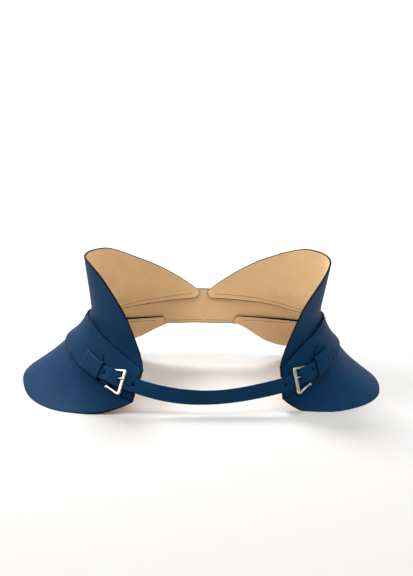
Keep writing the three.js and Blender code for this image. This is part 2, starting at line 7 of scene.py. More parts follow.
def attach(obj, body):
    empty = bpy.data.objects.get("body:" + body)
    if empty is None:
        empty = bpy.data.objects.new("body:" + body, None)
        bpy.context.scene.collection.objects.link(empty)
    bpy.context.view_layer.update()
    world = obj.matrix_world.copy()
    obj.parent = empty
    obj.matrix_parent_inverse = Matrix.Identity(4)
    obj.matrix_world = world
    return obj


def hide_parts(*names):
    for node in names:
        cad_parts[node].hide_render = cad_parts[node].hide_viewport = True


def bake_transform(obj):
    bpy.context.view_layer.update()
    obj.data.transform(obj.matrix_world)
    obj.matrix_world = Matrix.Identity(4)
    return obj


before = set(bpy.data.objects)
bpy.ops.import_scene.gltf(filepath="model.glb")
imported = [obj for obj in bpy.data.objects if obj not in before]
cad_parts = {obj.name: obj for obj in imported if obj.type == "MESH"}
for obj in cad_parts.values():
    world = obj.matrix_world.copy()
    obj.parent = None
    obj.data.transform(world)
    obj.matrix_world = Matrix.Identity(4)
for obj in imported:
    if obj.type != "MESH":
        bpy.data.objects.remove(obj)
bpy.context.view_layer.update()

# ------------------------------------------------------------ the belt's dimensions
OUTER, LINING, GAP, SEAT = 1.0, 0.8, 0.3, 0.08
BACK_DEPTH, FRONT_DEPTH = 78.3, 100.7
BAND_AT = [0, .24, .45, .68, .86, 1]
HEIGHT_AT = [0, .45, .8, 1]
UPPER_AT = [.028, .25, .5, .75, .9, 1]
LOWER_AT = [0, .14, .35, .55, .75, .9, 1]
# Section values at the stations above; most are a fit's output rounded to 0.1.
LEFT = dict(sign=-1, a=128.9, gap=70.3, edge=[81.4, 76.9, 72.4, 73.1, 58.5, 39.9],
            lean=[-11.9, 15.6, 43.4, 33.4, 41.1, 41.1], ulean=[1.1, .2, -3.1, 9.6, 6, 7.5],
            llean=[16.2, 56.6, 50.5, 60.7, 64.5, 53.3], band=[38.3, 37.3, 39.7, 34.5],
            upper=[0, 40.6, 69.2, 64.1, 44.6, 0], lower=[0, 0, 42.5, 65, 61.5, 34.5, 0],
            tip=42.5, corner=46, back=.5)
RIGHT = dict(sign=1, a=125.1, gap=71.6, edge=[81.4, 81.1, 76.9, 77.8, 66.6, 43],
             lean=[-11.9, 9.4, 39.1, 29.4, 27.8, 13.7], ulean=[1.1, -2.5, -3.5, 9.2, 10.3, 11.8],
             llean=[16.2, 52.4, 49.7, 56.8, 57.6, 53], band=[38.3, 37.3, 37, 32.4],
             upper=[0, 40.1, 67.5, 57.7, 43.7, 0], lower=[0, 0, 42.5, 68.5, 63.5, 39.5, 0],
             tip=36, corner=39.5, back=-.9)
DISH = [0, 1, 2.2, 2.2, 0, 0]
UPPER_BEND, LOWER_BEND = 12, 45
UPPER_LAP, LOWER_LAP, UPPER_TIP, UPPER_CORNER = 10, 8.5, 4.6, 9.3
STRAP_W, STRAP_OUT, STRAP_GAP, STRAP_IN, STRAP_END = 14, 1.1, .05, .95, 48
SPAN_PULL = dict(left=60, right=50)
SPAN_DROP = dict(left=2.5, right=.45)
HOLES, HOLE_D = [2, 14.8, 27.6], 3.2
HEEL_AT, HEEL_UP, FRAME_LEN, FRAME_W, FRAME_TILT = 23, 2.65, 17, 27, 18
TURN = dict(left=17, right=19)
SLIP = 3
CHAPE_W, CHAPE_T, CHAPE_END, FOLD_R = 14.6, 1, 49, 1.35
KEEPER_FROM, KEEPER_RAMP, KEEPER_TO, KEEPER_HALF, KEEPER_RISE, KEEPER_T = 32.5, 50, 58, 8.4, 5.9, 1.1
LINE_AT = [0, 9.5, 23, 32.5, 45, 60]
LINE = dict(left=[20, 24.6, 27.6, 29.2, 29.8, 29.8], right=[17.4, 21.4, 25.6, 27.6, 28.2, 28.2])
RIDE_AT = [0, 5, 9.5, 14.8, 19, 23, 27, 32.5, 50]
RIDE = [2, 2.8, 3.7, 4.9, 5.85, 6.15, 4.7, 2.95, 2.95]
SHIFT = np.array([2.824, 6.941, 0.0])
UPV = np.array([0, 0, 1.0])
MM = .001
# width in mm of the dark rim band on the leather faces: edge paint, and also painted contact shade along the edges
RIM_PAINT_AND_SHADE_WRAP = .55


def unit(v):
    return v / np.linalg.norm(v)


def curve(xs, ys):
    xs, ys = np.array(xs, float), np.array(ys, float)
    h = np.diff(xs); g = np.diff(ys) / h; n = len(xs); m = np.zeros(n)
    for i in range(1, n - 1):
        if g[i - 1] * g[i] > 0:
            a, b = 2 * h[i] + h[i - 1], h[i] + 2 * h[i - 1]
            m[i] = (a + b) / (a / g[i - 1] + b / g[i])
    def end(h0, h1, g0, g1):
        d = ((2 * h0 + h1) * g0 - h0 * g1) / (h0 + h1)
        if d * g0 <= 0: return 0
        return 3 * g0 if g0 * g1 < 0 and abs(d) > 3 * abs(g0) else d
    m[0] = end(h[0], h[1], g[0], g[1]) if n > 2 else g[0]
    m[-1] = end(h[-1], h[-2], g[-1], g[-2]) if n > 2 else g[0]
    def f(x):
        x = min(max(x, xs[0]), xs[-1]); i = min(int(np.searchsorted(xs, x, 'right')) - 1, n - 2); i = max(i, 0)
        u = (x - xs[i]) / h[i]; u2, u3 = u * u, u ** 3
        return float(ys[i] * (2 * u3 - 3 * u2 + 1) + h[i] * m[i] * (u3 - 2 * u2 + u) + ys[i + 1] * (3 * u2 - 2 * u3) + h[i] * m[i + 1] * (u3 - u2))
    return f


class Half:
    """One half of the belt: every surface is laid out from its section at a fraction s of the way round."""
    def __init__(self, S):
        self.S, a = S, S["a"]
        end = math.pi - math.asin(S["gap"] / a)
        phi = np.linspace(0, end, 2401)
        dep = np.where(np.cos(phi) > 0, BACK_DEPTH, FRONT_DEPTH)
        x, y = a * np.sin(phi), dep * np.cos(phi)
        self.arc = np.r_[0, np.cumsum(np.hypot(np.diff(x), np.diff(y)))]
        self.phi, self.L = phi, float(self.arc[-1])
        even = lambda ys: curve([-BAND_AT[1]] + BAND_AT, [ys[1]] + list(ys))
        R = lambda ys: [math.radians(v) for v in ys]
        self.edge, self.lean = even(S["edge"]), even(R(S["lean"]))
        self.ulean, self.llean = curve(BAND_AT, R(S["ulean"])), curve(BAND_AT, R(S["llean"]))
        self.band, self.dish = curve(HEIGHT_AT, S["band"]), curve(BAND_AT, DISH)
        self.ulen, self.llen = curve(UPPER_AT, S["upper"]), curve(LOWER_AT, S["lower"])
        self.cache = {}

    def at(self, s):
        key = round(s, 7)
        if key in self.cache: return self.cache[key]
        p = float(np.interp(min(max(s, 0), 1) * self.L, self.arc, self.phi)); a, sg = self.S["a"], self.S["sign"]
        b = BACK_DEPTH if math.cos(p) > 0 else FRONT_DEPTH
        x, y, f = a * math.sin(p), b * math.cos(p), self.lean(s)
        n = unit(np.array([sg * x / (a * a), y / (b * b), 0]))
        q = dict(p=np.array([sg * x, y, self.edge(s)]), n=n, f=f, d=n * math.sin(f) - UPV * math.cos(f),
                 m=n * math.cos(f) + UPV * math.sin(f), h=self.band(s), dish=self.dish(s))
        self.cache[key] = q
        return q

    def onband(self, s, down, off):
        q = self.at(s); k = min(max(down / q["h"], 0), 1)
        return q["p"] + q["d"] * down + q["m"] * (off - 4 * q["dish"] * k * (1 - k))

    def strip(self, s, run, off, way):
        q = self.at(s); depth = OUTER + LINING + 2 * GAP + (0 if way > 0 else .15)
        if run <= 0: return self.onband(s, -run if way > 0 else q["h"] + run, -depth - off)
        base = q["p"] + q["d"] * (0 if way > 0 else q["h"]) - q["m"] * depth
        bend = UPPER_BEND if way > 0 else LOWER_BEND
        a0, a1 = (-q["f"], self.ulean(s)) if way > 0 else (q["f"], self.llean(s))
        k = (a1 - a0) / bend if abs(a1 - a0) > 1e-6 else 1e-6 / bend
        c = min(run, bend); ae = a0 + k * c; rest = max(run - bend, 0)
        sx = (math.cos(a0) - math.cos(ae)) / k + rest * math.sin(ae)
        sz = (math.sin(ae) - math.sin(a0)) / k + rest * math.cos(ae)
        return base + q["n"] * (sx - off * math.cos(ae)) + UPV * (way * sz + (off if way > 0 else -off) * math.sin(ae))

    def floor_run(self, s, off, floor):
        lo, hi = 0., 140.
        for _ in range(26):
            mid = (lo + hi) / 2
            if self.strip(s, mid, off, -1)[2] > floor: lo = mid
            else: hi = mid
        return hi


H = dict(left=Half(LEFT), right=Half(RIGHT))
SIDES = ("left", "right")


# ------------------------------------------------------------ meshes
def mesh(name, verts, faces, mats, index=None, smooth=True):
    me = bpy.data.meshes.new(name)
    me.from_pydata([tuple((np.asarray(v) + SHIFT) * MM) for v in verts], [], [tuple(int(i) for i in f) for f in faces])
    for m in mats: me.materials.append(m)
    if index is not None: me.polygons.foreach_set("material_index", np.array(index, dtype=np.int32))
    me.polygons.foreach_set("use_smooth", np.full(len(me.polygons), smooth))
    me.update()
    ob = bpy.data.objects.new(name, me)
    bpy.context.scene.collection.objects.link(ob)
    return ob


def face_out(ob):
    """Turns every face outward."""
    bm = bmesh.new(); bm.from_mesh(ob.data)
    bmesh.ops.recalc_face_normals(bm, faces=bm.faces)
    bm.to_mesh(ob.data); bm.free()


def rim_paint_and_shade_rows(G, w):
    """Repeats a grid's border rows w mm in, so that the dark edge paint runs a little way onto the face; this dark rim
    band is also painted shade, standing in for the contact shadow and shadow line along the edges.
    """
    G = np.asarray(G, float)
    for axis in (0, 1):
        M = np.moveaxis(G, axis, 0)
        def inner(a, b):
            d = np.linalg.norm(b - a, axis=-1, keepdims=True); return a + (b - a) * np.minimum(w / np.maximum(d, 1e-6), .5)
        G = np.moveaxis(np.concatenate([M[:1], inner(M[:1], M[1:2]), M[1:-1], inner(M[-1:], M[-2:-1]), M[-1:]]), 0, axis)
    return G


def sheet(name, A, B, mats, roll=4, wrap=0.):
    """A sheet between face A and face B (grids of points) with a rounded edge all round.
    mats: face A, edge, face B."""
    A, B = np.asarray(A), np.asarray(B)
    # with wrap, the edge material covers a thin rim band on both faces: edge paint and also painted shade along the
    # edges
    if wrap: A, B = rim_paint_and_shade_rows(A, wrap), rim_paint_and_shade_rows(B, wrap)
    C, R = A.shape[:2]
    verts = list(A.reshape(-1, 3)) + list(B.reshape(-1, 3)); faces, idx = [], []
    ia = lambda i, j: i * R + j
    ib = lambda i, j: C * R + i * R + j
    for i in range(C - 1):
        for j in range(R - 1):
            rim = wrap and (i in (0, C - 2) or j in (0, R - 2))
            faces.append((ia(i, j), ia(i + 1, j), ia(i + 1, j + 1), ia(i, j + 1))); idx.append(1 if rim else 0)
            faces.append((ib(i, j), ib(i, j + 1), ib(i + 1, j + 1), ib(i + 1, j))); idx.append(1 if rim else 2)
    ring = [(i, 0) for i in range(C)] + [(C - 1, j) for j in range(1, R)] + [(i, R - 1) for i in range(C - 2, -1, -1)] + [(0, j) for j in range(R - 2, 0, -1)]
    loops = []
    for i, j in ring:
        a, b = A[i, j], B[i, j]
        ii, jj = min(max(i, 1), C - 2), min(max(j, 1), R - 2)
        o = a - A[ii, jj]
        if np.linalg.norm(o) < 1e-6: o = a - A[C // 2, R // 2]
        h = a - b; o = o - h * (o @ h) / max(h @ h, 1e-9)
        o = unit(o) if np.linalg.norm(o) > 1e-6 else np.zeros(3)
        c, r = (a + b) / 2, np.linalg.norm(h) / 2
        row = [ia(i, j)]
        for k in range(1, roll):
            t = math.pi * k / roll
            verts.append(c + (h / 2) * math.cos(t) + o * r * .75 * math.sin(t)); row.append(len(verts) - 1)
        row.append(ib(i, j)); loops.append(row)
    for n in range(len(loops)):
        p, q = loops[n], loops[(n + 1) % len(loops)]
        for k in range(roll): faces.append((p[k], p[k + 1], q[k + 1], q[k])); idx.append(1)
    ob = mesh(name, verts, faces, mats, idx)
    face_out(ob)
    return ob


def tube(pts, r, sides=8, caps=True):
    """Vertices and faces of a round tube through pts; r may be a list."""
    pts = [np.asarray(p, float) for p in pts]; n = len(pts)
    r = [r] * n if np.isscalar(r) else r
    verts, faces = [], []
    ref = None
    for i, p in enumerate(pts):
        t = unit(pts[min(i + 1, n - 1)] - pts[max(i - 1, 0)])
        if ref is None: ref = unit(np.cross(t, UPV if abs(t[2]) < .9 else np.array([1, 0, 0])))
        ref = unit(ref - t * (ref @ t)); b = np.cross(t, ref)
        for k in range(sides):
            a = 2 * math.pi * k / sides
            verts.append(p + (ref * math.cos(a) + b * math.sin(a)) * r[i])
    for i in range(n - 1):
        for k in range(sides):
            faces.append((i * sides + k, i * sides + (k + 1) % sides, (i + 1) * sides + (k + 1) % sides, (i + 1) * sides + k))
    if caps: faces += [tuple(range(sides - 1, -1, -1)), tuple((n - 1) * sides + k for k in range(sides))]
    return verts, faces


def stitches(name, pts, normals, mat, pitch=3.1, length=2.3, r=.27, lift=.05, slant=.0):
    """Separate stitches along a line, each dipping into the leather at both ends."""
    pts = np.array(pts); seg = np.linalg.norm(np.diff(pts, axis=0), axis=1); run = np.r_[0, np.cumsum(seg)]
    V_, F_ = [], []
    for n in range(int((run[-1] - pitch) / pitch)):
        c = pitch * (n + .8)
        p = [np.array([np.interp(c + o, run, pts[:, k]) for k in range(3)]) for o in (-length / 2, -length / 4, 0, length / 4, length / 2)]
        i = min(int(np.searchsorted(run, c)), len(normals) - 1); nn = normals[i]
        side = unit(np.cross(nn, p[4] - p[0])) * slant
        h = [-.28, .06, .14, .06, -.28]
        q = [p[k] + nn * (h[k] + lift) + side * (k - 2) / 2 for k in range(5)]
        v, f = tube(q, [r * .6, r, r * 1.05, r, r * .6], 6)
        F_ += [tuple(i + len(V_) for i in ff) for ff in f]; V_ += v
    return mesh(name, V_, F_, [mat])


# ------------------------------------------------------------ materials
def nodes(name):
    m = bpy.data.materials.new(name); m.use_nodes = True
    t = m.node_tree; return m, t, t.nodes["Principled BSDF"]


def mixc(t, fac, a, b, kind="MIX"):
    n = t.nodes.new("ShaderNodeMix"); n.data_type = "RGBA"; n.blend_type = kind
    for s, v in ((0, fac), (6, a), (7, b)):
        if hasattr(v, "is_linked") or hasattr(v, "links"): t.links.new(v, n.inputs[s])
        elif s: n.inputs[s].default_value = (*v, 1)
        else: n.inputs[s].default_value = v
    return n.outputs[2]


def ramp(t, src, stops):
    n = t.nodes.new("ShaderNodeValToRGB"); t.links.new(src, n.inputs[0])
    e = n.color_ramp.elements
    while len(e) < len(stops): e.new(.5)
    for k, (p, c) in enumerate(stops): e[k].position = p; e[k].color = (c, c, c, 1)
    return n.outputs[0]


def noise(t, co, scale, detail=4, rough=.55):
    n = t.nodes.new("ShaderNodeTexNoise"); n.inputs["Scale"].default_value = scale
    n.inputs["Detail"].default_value = detail; n.inputs["Roughness"].default_value = rough
    t.links.new(co, n.inputs["Vector"]); return n.outputs[0]


def coords(t):
    return t.nodes.new("ShaderNodeTexCoord").outputs["Object"]


def leather(name, base, dark, light, rough=(.46, .62), grain=1.0, coat=0., spec=.35, grain_scale=1100, sheen=0.):
    m, t, b = nodes(name); co = coords(t)
    broad, mid, fine = noise(t, co, 9, 3), noise(t, co, 60, 5), noise(t, co, 700, 4)
    col = mixc(t, ramp(t, broad, [(.34, 0), (.68, 1)]), dark, base)
    col = mixc(t, ramp(t, mid, [(.42, 0), (.78, .55)]), col, light)
    v = t.nodes.new("ShaderNodeTexVoronoi"); v.feature = "DISTANCE_TO_EDGE"; v.inputs["Scale"].default_value = grain_scale
    warp = t.nodes.new("ShaderNodeVectorMath"); warp.operation = "MULTIPLY_ADD"
    wn = t.nodes.new("ShaderNodeTexNoise"); wn.inputs["Scale"].default_value = 260; t.links.new(co, wn.inputs["Vector"])
    t.links.new(wn.outputs[1], warp.inputs[0]); warp.inputs[1].default_value = (.0016,) * 3; t.links.new(co, warp.inputs[2])
    t.links.new(warp.outputs[0], v.inputs["Vector"])
    cell = ramp(t, v.outputs[0], [(0, 0), (.16, 1)])
    col = mixc(t, .1, col, cell, "MULTIPLY")
    t.links.new(col, b.inputs["Base Color"])
    rr = t.nodes.new("ShaderNodeMapRange"); rr.inputs[3].default_value, rr.inputs[4].default_value = rough
    t.links.new(mid, rr.inputs[0]); t.links.new(rr.outputs[0], b.inputs["Roughness"])
    b.inputs["Specular IOR Level"].default_value = spec
    b.inputs["Coat Weight"].default_value = coat; b.inputs["Coat Roughness"].default_value = .35
    b.inputs["Sheen Weight"].default_value = sheen
    b1 = t.nodes.new("ShaderNodeBump"); b1.inputs["Strength"].default_value = .35 * grain; b1.inputs["Distance"].default_value = .0002
    b2 = t.nodes.new("ShaderNodeBump"); b2.inputs["Strength"].default_value = .3 * grain; b2.inputs["Distance"].default_value = .00018
    b3 = t.nodes.new("ShaderNodeBump"); b3.inputs["Strength"].default_value = .16; b3.inputs["Distance"].default_value = .004
    t.links.new(cell, b1.inputs["Height"]); t.links.new(fine, b2.inputs["Height"]); t.links.new(noise(t, co, 22, 2), b3.inputs["Height"])
    t.links.new(b3.outputs[0], b2.inputs["Normal"]); t.links.new(b2.outputs[0], b1.inputs["Normal"])
    t.links.new(b1.outputs[0], b.inputs["Normal"])
    return m


def metal(name, base, tint, rough=(.16, .3)):
    m, t, b = nodes(name); co = coords(t)
    n1, n2 = noise(t, co, 120, 5), noise(t, co, 1400, 3)
    t.links.new(mixc(t, ramp(t, n1, [(.4, 0), (.75, 1)]), base, tint), b.inputs["Base Color"])
    b.inputs["Metallic"].default_value = 1
    rr = t.nodes.new("ShaderNodeMapRange"); rr.inputs[3].default_value, rr.inputs[4].default_value = rough
    t.links.new(n1, rr.inputs[0]); t.links.new(rr.outputs[0], b.inputs["Roughness"])
    bp = t.nodes.new("ShaderNodeBump"); bp.inputs["Strength"].default_value = .05; bp.inputs["Distance"].default_value = .0001
    t.links.new(n2, bp.inputs["Height"]); t.links.new(bp.outputs[0], b.inputs["Normal"])
    return m


def yarn(name, base, dark):
    m, t, b = nodes(name); co = coords(t)
    w = t.nodes.new("ShaderNodeTexWave"); w.inputs["Scale"].default_value = 900; w.inputs["Distortion"].default_value = 3; w.inputs["Detail"].default_value = 2
    t.links.new(co, w.inputs["Vector"])
    t.links.new(mixc(t, w.outputs[1], dark, base), b.inputs["Base Color"]); b.inputs["Roughness"].default_value = .7
    bp = t.nodes.new("ShaderNodeBump"); bp.inputs["Strength"].default_value = .4; bp.inputs["Distance"].default_value = .0001
    t.links.new(w.outputs[1], bp.inputs["Height"]); t.links.new(bp.outputs[0], b.inputs["Normal"])
    return m


BLUE = leather("blue_leather", (.003, .036, .1), (.0022, .03, .083), (.0048, .046, .122), spec=.06)
BLUE_S = leather("blue_strap_leather", (.003, .035, .094), (.0022, .029, .08), (.0046, .044, .115), grain_scale=1300, spec=.06)
TAN = leather("tan_lining", (.82, .56, .295), (.77, .51, .26), (.86, .61, .335), rough=(.55, .72), grain=.7, spec=.25, grain_scale=1500)
# near-black edge paint; where it wraps onto the faces as a rim band it is also painted shade along the edges
EDGE = leather("edge_paint_and_rim_shade", (.004, .008, .018), (.0025, .005, .012), (.006, .012, .024), rough=(.45, .6), grain=.4, spec=.06)
METAL = metal("pale_gold", (.62, .575, .47), (.70, .65, .54), rough=(.22, .36))
YARN_TAN = yarn("tan_thread", (.15, .08, .032), (.07, .035, .013))
YARN_BLUE = yarn("blue_thread", (.003, .022, .07), (.002, .012, .04))
BLUE_MATS, TAN_MATS = [BLUE, EDGE, BLUE], [TAN, EDGE, TAN]


# ------------------------------------------------------------ stations
def stations(h, a, marks, n):
    """Fractions along a half from a mm, close together at the marks, evenly after."""
    us = [u for u in marks if u >= a - 1e-6] + list(np.linspace(marks[-1], h.L, n + 1)[1:])
    us += [h.L - .6, h.L - 1.8]
    return [u / h.L for u in sorted(set(round(v, 4) for v in us))]


def rows(a, b, n, ease=.6):
    """n+1 values from a to b, closer together at both ends."""
    k = np.linspace(0, 1, n + 1); k = k + ease * np.sin(2 * math.pi * k) / (2 * math.pi) * -1
    return a + (b - a) * k


pieces = {}

# waistband
cl = [("left", s) for s in reversed(stations(H["left"], 0, [0, 1, 3, 6, 10, 15, 20], 84)[1:])]
cr = [("right", s) for s in stations(H["right"], 0, [0, 1, 3, 6, 10, 15, 20], 84)]
def band_layer(o):
    return [[H[sd].onband(s, d, -o) for d in rows(0, H[sd].band(s), 14)] for sd, s in cl + cr]
pieces["waistband_outer"] = sheet("waistband_outer_leather", band_layer(0), band_layer(OUTER), BLUE_MATS, wrap=RIM_PAINT_AND_SHADE_WRAP)
pieces["waistband_lining"] = sheet("waistband_lining_leather", band_layer(OUTER + GAP + LINING), band_layer(OUTER + SEAT), TAN_MATS, wrap=RIM_PAINT_AND_SHADE_WRAP)

# wings
for sd in SIDES:
    h = H[sd]
    def lo_u(u): return np.interp(u, [UPPER_TIP, UPPER_CORNER], [-5.2, -UPPER_LAP])
    def hi_u(u): return np.interp(u, [UPPER_TIP, 7.5], [-4, .4]) if u < 7.5 else max(h.ulen(u / h.L), .4)
    cols = stations(h, UPPER_TIP, [UPPER_TIP, 5.4, 6.4, 7.5, 8.4, UPPER_CORNER, 10.5, 12.5, 15, 18, 22], 84)
    def up_layer(o): return [[h.strip(s, r, o, 1) for r in rows(lo_u(s * h.L), hi_u(s * h.L), 26, .4)] for s in cols]
    pieces[f"upper_wing_{sd}_outer"] = sheet(f"upper_wing_{sd}_outer_leather", up_layer(0), up_layer(OUTER), BLUE_MATS, wrap=RIM_PAINT_AND_SHADE_WRAP)
    pieces[f"upper_wing_{sd}_lining"] = sheet(f"upper_wing_{sd}_lining_leather", up_layer(OUTER + GAP + LINING), up_layer(OUTER + SEAT), TAN_MATS, wrap=RIM_PAINT_AND_SHADE_WRAP)
    tip, corner = h.S["tip"], h.S["corner"]
    cols2 = stations(h, tip, [tip, tip + .8, tip + 1.8, tip + 2.7, corner, corner + 1.2, corner + 3, corner + 6], 76)
    def low_layer(o, fl):
        out = []
        for s in cols2:
            u = s * h.L; a = np.interp(u, [tip, corner], [-.8, -LOWER_LAP]); b = max(min(h.llen(s), h.floor_run(s, o, fl)), .4)
            out.append([h.strip(s, r, o, -1) for r in rows(a, b, 24, .4)])
        return out
    pieces[f"lower_wing_{sd}_outer"] = sheet(f"lower_wing_{sd}_outer_leather", low_layer(0, .25), low_layer(OUTER, .25), BLUE_MATS, wrap=RIM_PAINT_AND_SHADE_WRAP)
    pieces[f"lower_wing_{sd}_lining"] = sheet(f"lower_wing_{sd}_lining_leather", low_layer(OUTER + GAP + LINING, .35), low_layer(OUTER + SEAT, .35), TAN_MATS, wrap=RIM_PAINT_AND_SHADE_WRAP)

# ------------------------------------------------------------ line of strap, keeper and buckle
class Line:
    def __init__(self, sd):
        self.h, self.sd, self.down = H[sd], sd, curve(LINE_AT, LINE[sd])
    def st(self, u): return 1 - (u + self.h.S["back"]) / self.h.L
    def raw(self, u): return self.h.onband(self.st(u), self.down(u), 0)
    def at(self, u):
        uu = max(u, 1.4); t = unit(self.raw(uu - .4) - self.raw(uu + .4)); q = self.h.at(self.st(u)); d = q["d"]
        w = unit(d - t * (d @ t)); n = unit(np.cross(t, w)); n = -n if n @ q["m"] < 0 else n
        a = math.radians(TURN[self.sd]) * np.sign(d @ t)
        return dict(o=self.raw(u), t=t, w=w, n=n, y=w * math.cos(a) + t * math.sin(a), x=t * math.cos(a) - w * math.sin(a), slant=(d @ t) / (d @ w))
    def put(self, u, v, hgt):
        q = self.at(u); return q["o"] + q["w"] * v + q["n"] * hgt
    def heel(self):
        q = self.at(HEEL_AT); q["o"] = q["o"] - q["w"] * (HEEL_AT - HOLES[1]) * (q["x"] @ q["w"]) / (q["x"] @ q["t"])
        return q


lines = {sd: Line(sd) for sd in SIDES}
ride_f = curve(RIDE_AT, RIDE)
US = [STRAP_END, 42, 37, 32.5, 29.5, 26.5, 23, 19.5, 16, 12.5, 9.5, 6, 3, 0]
pts, across = [], []
for u in US:
    q = lines["left"].at(u); pts.append(q["o"] + q["n"] * ride_f(u)); across.append(q["w"])
qa, qb = lines["left"].at(0), lines["right"].at(0)
A0, B0 = pts[-1], qb["o"] + qb["n"] * ride_f(0)
drop = lambda t, k: unit(np.array([t[0], t[1], t[2] * k]))
C1, C2 = A0 + drop(qa["t"], SPAN_DROP["left"]) * SPAN_PULL["left"], B0 + drop(qb["t"], SPAN_DROP["right"]) * SPAN_PULL["right"]
for i in range(1, 9):
    k = i / 9; pts.append(A0 * (1 - k) ** 3 + C1 * 3 * k * (1 - k) ** 2 + C2 * 3 * k * k * (1 - k) + B0 * k ** 3)
    mid = np.array([0, .1, -1]); across.append(unit(qa["w"] + (mid - qa["w"]) * k * 2 if k < .5 else mid + (qb["w"] - mid) * (k * 2 - 1)))
for u in reversed(US):
    q = lines["right"].at(u); pts.append(q["o"] + q["n"] * ride_f(u)); across.append(q["w"])
NP = len(pts) - 1


def path(k):
    k = min(max(k, 0), NP); i = min(int(k), NP - 1); f = k - i
    p1, p2 = pts[i], pts[i + 1]
    p0 = pts[i - 1] if i > 0 else 2 * pts[0] - pts[1]
    p3 = pts[i + 2] if i + 2 <= NP else 2 * pts[-1] - pts[-2]
    d = [max(np.linalg.norm(b - a) ** .5, 1e-4) for a, b in ((p0, p1), (p1, p2), (p2, p3))]
    t1 = ((p1 - p0) / d[0] - (p2 - p0) / (d[0] + d[1]) + (p2 - p1) / d[1]) * d[1]
    t2 = ((p2 - p1) / d[1] - (p3 - p1) / (d[1] + d[2]) + (p3 - p2) / d[2]) * d[1]
    return p1 + t1 * f + (-3 * p1 + 3 * p2 - 2 * t1 - t2) * f * f + (2 * p1 - 2 * p2 + t1 + t2) * f ** 3


def strap_at(k):
    i = min(int(min(max(k, 0), NP)), NP - 1); f = k - i
    o, t = path(k), unit(path(min(k + .003, NP)) - path(max(k - .003, 0)))
    w = across[i] + (across[i + 1] - across[i]) * f; w = unit(w - t * (w @ t)); m = unit(np.cross(w, t))
    return o, t, w, (-m if m @ np.array([o[0], o[1], 0]) < 0 else m)


ks = np.linspace(0, NP, 1400); KP = np.array([path(k) for k in ks])
def k_of(sd, u):
    q = lines[sd].at(u); target = q["o"] + q["n"] * ride_f(u)
    return float(ks[np.argmin(np.linalg.norm(KP - target, axis=1))])
hole_k = {(sd, u): k_of(sd, u) for sd in SIDES for u in HOLES}
arc_s = np.r_[0, np.cumsum(np.linalg.norm(np.diff(KP, axis=0), axis=1))]
S_of = lambda k: float(np.interp(k, ks, arc_s)); K_of = lambda s: float(np.interp(s, arc_s, ks))
LEN = arc_s[-1]


